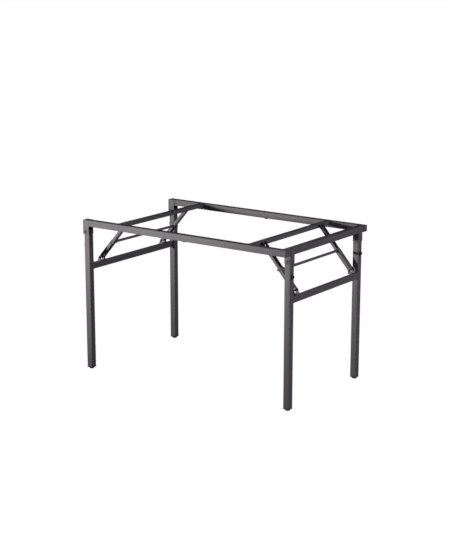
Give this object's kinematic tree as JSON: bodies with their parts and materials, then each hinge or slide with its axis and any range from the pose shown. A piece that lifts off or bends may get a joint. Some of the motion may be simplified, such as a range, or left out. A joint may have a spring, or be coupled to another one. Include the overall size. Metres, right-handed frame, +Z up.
{
  "type": "folding table frame",
  "caption": "Rectangular steel table frame on two pairs of square legs that fold inwards, each held upright by toggle braces tied by a cross rod.",
  "frame": {"origin": "on the floor, under the middle of the object's box", "axes": "+X along the table towards the end that has an end rail, +Y across it towards the back, +Z up"},
  "size_m": [1.1539, 0.6866, 0.73],
  "materials": {
    "frame_paint": "dark grey satin powder coat, fine orange peel",
    "brace_paint": "dark grey satin powder coat on pressed sheet",
    "painted_rivet": "dark grey powder coat, worn at the crown",
    "dark_fastener": "black zinc",
    "black_plastic": "fine-grained matte black",
    "rubber": "matte black rubber"
  },
  "bodies": {
    "frame": {"front_rail": "frame_paint", "back_rail": "frame_paint", "front_rail_cap": "frame_paint", "back_rail_cap": "frame_paint", "front_rail_bumper": "rubber", "back_rail_bumper": "rubber", "end_rail": "frame_paint", "left_inner_crossbar": "frame_paint", "left_front_bracket": "frame_paint", "left_front_rivet": "painted_rivet", "left_front_clevis": "brace_paint", "left_front_clevis_bolt": "dark_fastener", "left_back_bracket": "frame_paint", "left_back_rivet": "painted_rivet", "left_back_clevis": "brace_paint", "left_back_clevis_bolt": "dark_fastener", "right_inner_crossbar": "frame_paint", "right_front_bracket": "frame_paint", "right_front_rivet": "painted_rivet", "right_front_clevis": "brace_paint", "right_front_clevis_bolt": "dark_fastener", "right_back_bracket": "frame_paint", "right_back_rivet": "painted_rivet", "right_back_clevis": "brace_paint", "right_back_clevis_bolt": "dark_fastener"},
    "left_legs": {"left_leg_crossbar": "frame_paint", "left_front_leg": "frame_paint", "left_front_foot": "black_plastic", "left_front_leg_bumper": "rubber", "left_front_brace_bolt": "dark_fastener", "left_back_leg": "frame_paint", "left_back_foot": "black_plastic", "left_back_leg_bumper": "rubber", "left_back_brace_bolt": "dark_fastener"},
    "left_upper_links": {"left_front_upper_link": "brace_paint", "left_back_upper_link": "brace_paint"},
    "left_lower_links": {"left_cross_rod": "frame_paint", "left_front_lower_link": "brace_paint", "left_back_lower_link": "brace_paint"},
    "right_legs": {"right_leg_crossbar": "frame_paint", "right_front_leg": "frame_paint", "right_front_foot": "black_plastic", "right_front_leg_bumper": "rubber", "right_front_brace_bolt": "dark_fastener", "right_back_leg": "frame_paint", "right_back_foot": "black_plastic", "right_back_leg_bumper": "rubber", "right_back_brace_bolt": "dark_fastener"},
    "right_upper_links": {"right_front_upper_link": "brace_paint", "right_back_upper_link": "brace_paint"},
    "right_lower_links": {"right_cross_rod": "frame_paint", "right_front_lower_link": "brace_paint", "right_back_lower_link": "brace_paint"}
  },
  "joints": [
    {"name": "left_fold", "type": "hinge", "parent": "frame", "child": "left_legs", "pos_m": [-0.5566, 0, 0.674], "axis": [0, -1, 0], "range_deg": [0, 90]},
    {"name": "left_upper_link_turn", "type": "hinge", "parent": "frame", "child": "left_upper_links", "pos_m": [-0.3861, 0, 0.72], "axis": [0, -1, 0], "range_deg": [-41.57, 0]},
    {"name": "left_lower_link_turn", "type": "hinge", "parent": "left_legs", "child": "left_lower_links", "pos_m": [-0.5488, 0, 0.534], "axis": [0, -1, 0], "range_deg": [0, 30.31]},
    {"name": "right_fold", "type": "hinge", "parent": "frame", "child": "right_legs", "pos_m": [0.5607, 0, 0.674], "axis": [0, 1, 0], "range_deg": [0, 90]},
    {"name": "right_upper_link_turn", "type": "hinge", "parent": "frame", "child": "right_upper_links", "pos_m": [0.3902, 0, 0.72], "axis": [0, 1, 0], "range_deg": [-41.57, 0]},
    {"name": "right_lower_link_turn", "type": "hinge", "parent": "right_legs", "child": "right_lower_links", "pos_m": [0.5529, 0, 0.534], "axis": [0, 1, 0], "range_deg": [0, 30.31]}
  ],
  "couplings": [
    {"joint": "left_upper_link_turn", "follows": "left_fold", "ratio": -0.4613},
    {"joint": "left_lower_link_turn", "follows": "left_fold", "ratio": 0.33617},
    {"joint": "right_upper_link_turn", "follows": "right_fold", "ratio": -0.4613},
    {"joint": "right_lower_link_turn", "follows": "right_fold", "ratio": 0.33617}
  ]
}
